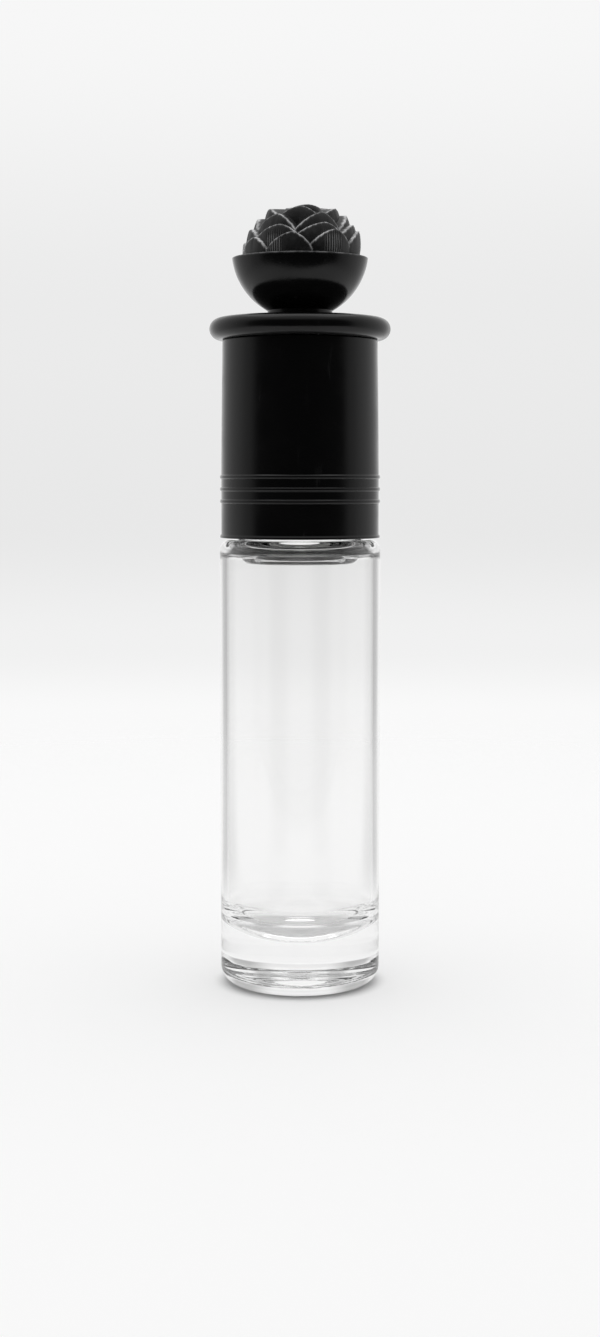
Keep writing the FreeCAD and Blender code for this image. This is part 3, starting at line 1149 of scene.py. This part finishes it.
@dataclass
class RoseFinial:
    """Bowl on its foot with the rose in it."""

    hole_radius: float = 2.4
    head_radius: float = 3.4
    head_bottom: float = 77.8
    crown: float = 78.6
    disc_top: float = 83.05
    foot_radius: float = 4.0
    foot_top: float = 83.99
    rim: float = 90.35
    rim_radius: float = 8.35
    wall: float = 1.2
    floor_fill: float = 0.85
    seat_radius: float = 7.5
    seat: float = 88.8
    bloom_radius: float = 7.45
    bloom_height: float = 6.2
    overlap_share: float = 1.06
    tiers: tuple[Tier, ...] = (
        Tier(8, 0.98, 0.12, 0.42, 0.055, 0.70, 0.095, 0.025),
        Tier(7, 0.93, 0.19, 0.58, 0.29, 0.66, 0.045, 0.03),
        Tier(6, 0.82, 0.39, 0.80, 0.34, 0.85, 0.03, 0.03),
        Tier(5, 0.64, 0.62, 0.94, 0.645, 0.61, 0.0, 0.05),
        Tier(3, 0.40, 0.78, 1.00, 0.87, 0.20, 0.0, 0.1),
    )
    columns: int = 540
    rows: int = 170
    bowl_columns: int = 224
    belly_rows: int = 64
    hollow_rows: int = 40
    head_rounding: float = 0.2
    edge_rounding: float = 0.1
    rim_rounding: float = 0.06
    rim_bevel: float = 0.08
    lip_rounding: float = 0.12
    rim_wear_and_highlight: float = 0.1
    crease: float = 50.0

    def build_bowl(self) -> Surface:
        """Turns the bowl; its belly is the ball through its rim and the top of its foot.

        Returns:
            The closed surface, with its rim marked for rubbed wear and a painted highlight.
        """
        flare = (self.rim_radius**2 - self.foot_radius**2) / (self.rim - self.foot_top)
        centre = (self.rim + self.foot_top + flare) / 2
        radius = math.hypot(self.foot_radius, centre - self.foot_top)
        hollow = radius - self.wall
        floor = centre - hollow + self.floor_fill
        outside = ball_arc(radius, centre, self.foot_top, self.rim - self.rim_bevel, self.belly_rows)
        inside = ball_arc(hollow, centre, self.seat, floor, self.hollow_rows)
        stem = half_section([
            (0, self.head_bottom),
            (self.head_radius, self.head_bottom, self.head_rounding),
            (self.head_radius, self.crown, self.edge_rounding),
            (self.hole_radius, self.crown),
            (self.hole_radius, self.disc_top),
            (self.foot_radius, self.disc_top, self.edge_rounding),
            (self.foot_radius, self.foot_top),
        ], closed=False)
        edge = half_section([
            (outside[-1, 0], outside[-1, 1]),
            (self.rim_radius, self.rim, self.rim_rounding),
            (self.seat_radius, self.rim, self.lip_rounding),
            (self.seat_radius, self.seat, self.edge_rounding),
            (inside[0, 0], self.seat),
        ], closed=False)
        section = np.concatenate([stem[:-1], outside[:-1], edge[:-1], inside, [[0, floor]]])
        # The rim is marked for rubbed wear and a painted highlight.
        rubbed_and_highlit = bell((section[:, 1:] - self.rim) / self.rim_wear_and_highlight) * (section[:, :1] > self.seat_radius)
        return Surface(turned(section, self.bowl_columns), poles=True, wear_and_highlight=rubbed_and_highlit)

    def petals(self) -> list[Petal]:
        """Petals of every tier, with heights above the seat.

        Returns:
            The petals, tier by tier.
        """
        deep = self.rim - self.seat
        made = []
        for tier in self.tiers:
            belly_radius = self.bloom_radius * tier.belly_radius
            for i in range(tier.petals):
                turn = (i + tier.turn) * TAU / tier.petals
                foot = deep + self.bloom_height * tier.lean * math.cos(turn)
                made.append(Petal(
                    turn=turn,
                    drift=self.bloom_radius * tier.drift,
                    belly_radius=belly_radius,
                    belly_height=foot + self.bloom_height * tier.belly_height,
                    tip=foot + self.bloom_height * tier.tip,
                    springing=foot + self.bloom_height * tier.springing,
                    half_width=belly_radius * math.sin(math.pi / tier.petals) * self.overlap_share,
                ))
        return made

    def build_rose(self) -> Surface:
        """Joins the petals into one bloom.

        Along each ray from the middle of the seat the surface lies at the farthest reach of all petals and of the
        round plug below them. A first row at the middle of the seat closes it underneath.

        Returns:
            The closed surface, with its petal edges marked for rubbed wear and a painted highlight.
        """
        azimuth = np.linspace(0, TAU, self.columns, endpoint=False)[None]
        lift = np.linspace(0, math.pi / 2, self.rows)[:, None]
        deep = self.rim - self.seat
        reach = np.minimum(self.bloom_radius / np.maximum(np.cos(lift), 1e-9), deep / np.maximum(np.sin(lift), 1e-9))
        reach = reach * np.ones(self.columns)
        wear_and_highlight = np.zeros_like(reach)
        for petal in self.petals():
            farther, close = petal.reach(azimuth, lift)
            # Petal edges are marked for rubbed wear and a painted highlight.
            wear_and_highlight = np.where(farther > reach, close, wear_and_highlight)
            reach = np.maximum(reach, farther)
        out = reach * np.cos(lift)
        grid = np.stack([
            out * np.cos(azimuth),
            out * np.sin(azimuth),
            self.seat + reach * np.sin(lift),
        ], axis=-1)
        middle = np.zeros_like(grid[:1])
        middle[..., 2] = self.seat
        grid[-1] = grid[-1].mean(axis=0)
        return Surface(np.concatenate([middle, grid]), poles=True, wear_and_highlight=np.concatenate([wear_and_highlight[:1] * 0, wear_and_highlight]))

    def dress(self) -> None:
        """Places the bowl and the rose."""
        place("rose_bowl", "finial_bowl", [self.build_bowl()], BlackPlastic(), Body.CAP, Slot.BLACK)
        place("rose", "rose_bloom", [self.build_rose()], RosePlastic(), Body.CAP, Slot.ROSE, self.crease)


def side_gap(across: Socket) -> Socket:
    """Marks the dim gaps between the bright back and sides, from the sideways part of a unit direction."""
    aside = across.math("ABSOLUTE", across)
    return aside.within(*GAP_START) * (1 - aside.within(*GAP_END))


@dataclass(frozen=True)
class FloorPaper(Finish):
    """Matt white paper that fades out towards its rim and its front.

    A fill light brightens it where the camera or the glass looks at it, but for a ring round the foot that the camera
    sees without it, a painted contact shadow, and the glass sees less of it in the gaps at the sides.
    """

    name: str = "white_paper"
    colour: Colour = (0.93, 0.93, 0.93)
    fibre: Colour = (0.8, 0.8, 0.8)
    fibre_scale: float = 900.0
    fibre_share: float = 0.05
    shown: float = 0.57
    fill: float = 0.38
    gap_depth: float = 0.4
    gap_range: Span = (0.03, 0.09)
    # Ring round the foot where the camera sees no fill light: a painted contact shadow.
    foot: Span = (0.0082, 0.0113)
    rim_fade: Span = (0.13, 0.3)
    front_fade: Span = (-0.15, -0.108)

    def shade(self, graph: Graph) -> None:
        """Builds the nodes.

        Args:
            graph: Graph of the material.
        """
        across, deep, _ = graph.axes(graph.coords())
        distance = (across * across + deep * deep) ** 0.5
        camera, bent = graph.rays("Camera", "Transmission")
        paper = graph.mix(graph.noise(self.fibre_scale, detail=4.0) * self.fibre_share, self.colour, self.fibre)
        gap = side_gap(across / distance) * distance.within(*self.gap_range)
        through = bent * (1 - self.gap_depth * gap)
        seen = graph.mix(camera + through, (0, 0, 0), (self.shown,) * 3)
        # The fill is held off a ring round the foot for camera rays: a painted contact shadow.
        fill_with_painted_shadow = camera * distance.within(*self.foot) + through
        upper = 1 - graph.node("NewGeometry", output="Backfacing")
        graph.surface({
            "Base Color": graph.mix(camera + bent, paper, seen),
            "Emission Color": graph.mix(fill_with_painted_shadow, (0, 0, 0), (self.fill,) * 3),
            "Emission Strength": 1.0,
            "Roughness": 0.8,
            "Specular IOR Level": 0.1,
            "Alpha": upper * (1 - distance.within(*self.rim_fade)) * deep.within(*self.front_fade),
        })


@dataclass
class Studio:
    """White paper floor, soft light and the camera, with bounces enough for the glass."""

    floor_radius: float = 320.0
    floor_top: float = -0.02
    floor_bottom: float = -1.0
    floor_middle: float = 4.0
    floor_rings: int = 40
    floor_columns: int = 96
    camera_place: Triple = (0.0, -0.2449, 0.0636)
    camera_pitch: float = 5.56
    lens: float = 52.87
    sensor: float = 36.0
    clip: Span = (0.01, 10.0)
    light_level: float = 0.86
    overhead: Colour = (0.8, 0.8, 0.8)
    overhead_range: Span = (0.45, 0.9)
    gap_depth: float = 0.46
    gap_range: Span = (-0.3, -0.1)
    # Backdrop greys by height, with painted shade in a band round the horizon.
    backdrop: tuple[Span, ...] = (
        (0.0, 0.95), (0.38, 0.95), (0.415, 0.88), (0.476, 0.81), (0.576, 0.83), (0.73, 0.93), (1.0, 0.95),
    )
    gloss: tuple[Span, ...] = (
        (0.0, 0.01), (0.2, 0.03), (0.27, 0.06), (0.4, 0.5), (0.6, 0.72), (0.86, 0.72), (1.0, 1.0),
    )
    lamp_size: Span = (0.5, 0.4)
    lamp_energy: float = 0.5
    lamp_place: Triple = (0.0, 0.08, 0.5)
    bounces: int = 32

    def build_floor(self) -> None:
        """Lays a round sheet of paper: points (r cos a, r sin a, z) on rings of growing radius r."""
        rings = np.linspace(self.floor_middle, self.floor_radius, self.floor_rings)
        radii = np.concatenate([[0], rings, [self.floor_radius, 0]])
        heights = np.full(len(radii), self.floor_top)
        heights[-2:] = self.floor_bottom
        section = np.stack([radii, heights], axis=1)[::-1]
        mesh = fill_mesh("paper_floor", [Surface(turned(section, self.floor_columns), poles=True)], CREASE)
        mesh.materials.append(FloorPaper().material())
        floor = add_object("paper_floor", mesh)

    def build_world(self) -> None:
        """Wraps the scene in pale paper that is bright behind, dim at the sides and dark at the front."""
        world = bpy.data.worlds.new("studio")
        bpy.context.scene.world = world
        world.use_nodes = True
        world.cycles.sampling_method = "NONE"
        graph = Graph(world.node_tree)
        direction = graph.node("TexCoord", output="Generated")
        across, deep, up = graph.axes(direction)
        # Camera rays see the backdrop ramp, whose dip round the horizon is painted shade.
        paper = graph.ramp(up + 0.5, self.backdrop)
        gloss = graph.ramp(deep * 0.5 + 0.5, self.gloss)
        mirrored = graph.mix(up.within(*self.overhead_range), gloss, self.overhead)
        through = 1 - self.gap_depth * side_gap(across) * up.within(*self.gap_range)
        camera, glossy, bent = graph.rays("Camera", "Glossy", "Transmission")
        colour = graph.mix(glossy, (self.light_level,) * 3, mirrored)
        colour = graph.mix(bent, colour, graph.mix(through, (0, 0, 0), paper))
        colour = graph.mix(camera, colour, paper)
        shader = graph.node("Background", inputs={"Color": colour, "Strength": 1.0})
        graph.node("OutputWorld", inputs={"Surface": shader})

    def build_lamp(self) -> None:
        """Hangs a wide soft lamp over the bottle."""
        lamp = bpy.data.lights.new("overhead_softbox", "AREA")
        lamp.shape = "RECTANGLE"
        lamp.size, lamp.size_y = self.lamp_size
        lamp.energy = self.lamp_energy
        add_object("overhead_softbox", lamp).location = self.lamp_place

    def build_camera(self) -> None:
        """Sets the camera at the picture's viewing angle."""
        lens = bpy.data.cameras.new("picture_camera")
        lens.lens = self.lens
        lens.sensor_width = self.sensor
        lens.clip_start, lens.clip_end = self.clip
        camera = add_object("picture_camera", lens)
        camera.location = self.camera_place
        camera.rotation_euler = (math.radians(90 - self.camera_pitch), 0, 0)
        bpy.context.scene.camera = camera

    def build(self) -> None:
        """Builds the studio."""
        self.build_floor()
        self.build_world()
        self.build_lamp()
        self.build_camera()
        bpy.context.scene.view_settings.view_transform = "Standard"
        cycles = bpy.context.scene.cycles
        cycles.max_bounces = cycles.glossy_bounces = cycles.transmission_bounces = self.bounces


def main() -> None:
    """Builds the sub-assemblies in order, then the studio."""
    logging.basicConfig(level=logging.INFO, format="%(message)s")
    for assembly in (GlassBottle(), BallFitment(), CapSeals(), ScrewCap(), RoseFinial()):
        assembly.dress()
        LOG.info("%s is dressed", type(assembly).__name__)
    Studio().build()


if __name__ == "__main__":
    main()
